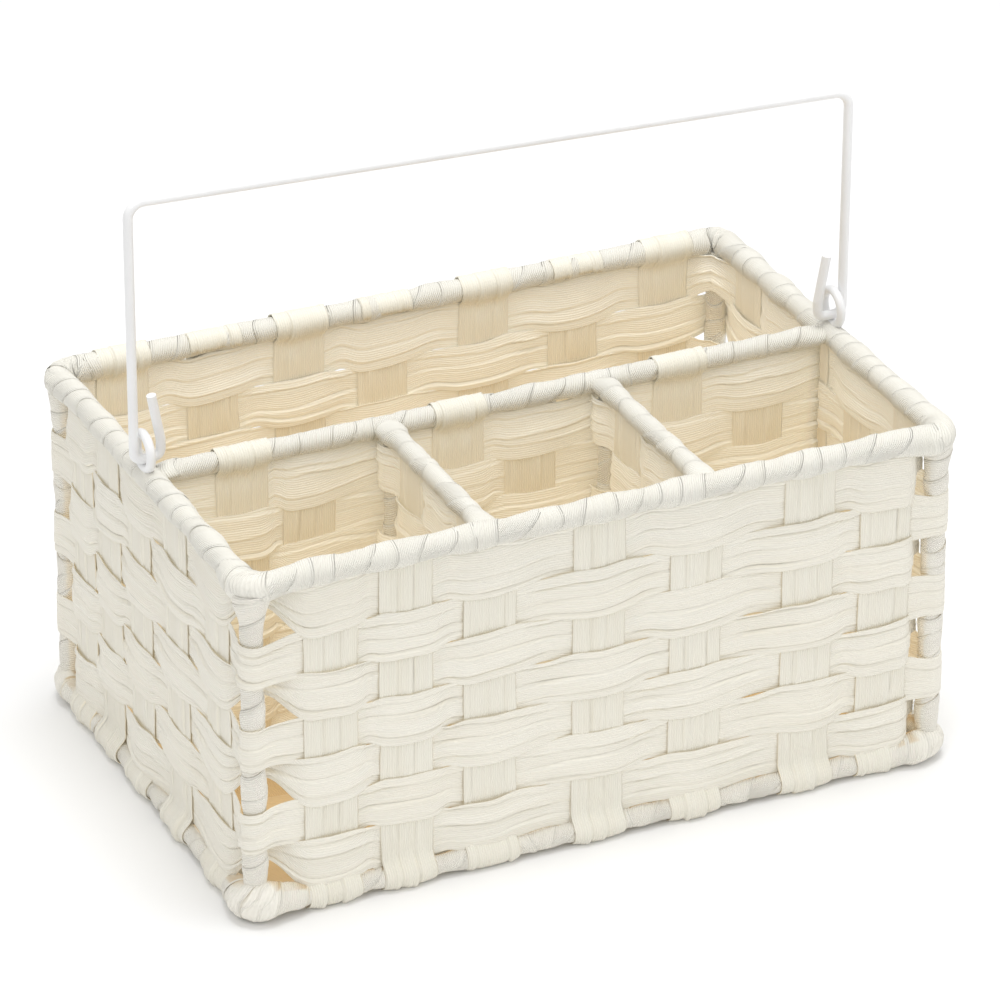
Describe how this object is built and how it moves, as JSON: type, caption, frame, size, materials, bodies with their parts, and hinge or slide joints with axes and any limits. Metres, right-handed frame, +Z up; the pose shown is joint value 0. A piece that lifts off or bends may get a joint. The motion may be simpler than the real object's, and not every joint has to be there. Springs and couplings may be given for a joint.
{
  "type": "woven cleaning caddy",
  "caption": "Rectangular caddy of flat tape woven on a wire frame, with a long rear compartment, small front compartments and a hinged wire bail handle.",
  "frame": {"origin": "centre of the footprint on the floor, level with the flat undersides of the folded stake ends", "axes": "+X along the length to the right as seen from the front, +Y from the front wall to the rear wall, +Z up"},
  "size_m": [0.3362, 0.222, 0.2861],
  "materials": {
    "frame_wire": "satin",
    "coated_wire": "satin",
    "wrap_tape": "matte",
    "stake_tape": "matte",
    "weaver_tape": "matte"
  },
  "bodies": {
    "basket": {"rim_wire": "frame_wire", "base_wire": "frame_wire", "corner_posts": "frame_wire", "long_rail": "frame_wire", "cross_rails": "frame_wire", "divider_posts": "frame_wire", "long_floor_wire": "frame_wire", "cross_floor_wires": "frame_wire", "rim_wrap": "wrap_tape", "rim_corner_wraps": "wrap_tape", "base_wrap": "wrap_tape", "base_corner_wraps": "wrap_tape", "corner_post_wraps": "wrap_tape", "long_rail_wrap": "wrap_tape", "cross_rail_wraps": "wrap_tape", "divider_post_wraps": "wrap_tape", "front_stakes": "stake_tape", "rear_stakes": "stake_tape", "left_stakes": "stake_tape", "right_stakes": "stake_tape", "weaver_row_1": "weaver_tape", "weaver_row_2": "weaver_tape", "weaver_row_3": "weaver_tape", "weaver_row_4": "weaver_tape", "weaver_row_5": "weaver_tape", "weaver_row_6": "weaver_tape", "weaver_row_7": "weaver_tape", "long_divider_stakes": "stake_tape", "long_divider_weavers": "weaver_tape", "left_divider_stakes": "stake_tape", "left_divider_weavers": "weaver_tape", "right_divider_stakes": "stake_tape", "right_divider_weavers": "weaver_tape", "floor_cross_tapes": "stake_tape", "floor_long_tapes": "weaver_tape", "left_eye": "coated_wire", "right_eye": "coated_wire"},
    "handle": {"bail_handle": "coated_wire"}
  },
  "joints": [
    {"name": "handle_hinge", "type": "hinge", "parent": "basket", "child": "handle", "pos_m": [0, 0, 0.16655], "axis": [1, 0, 0], "range_deg": [-90, 90]}
  ]
}
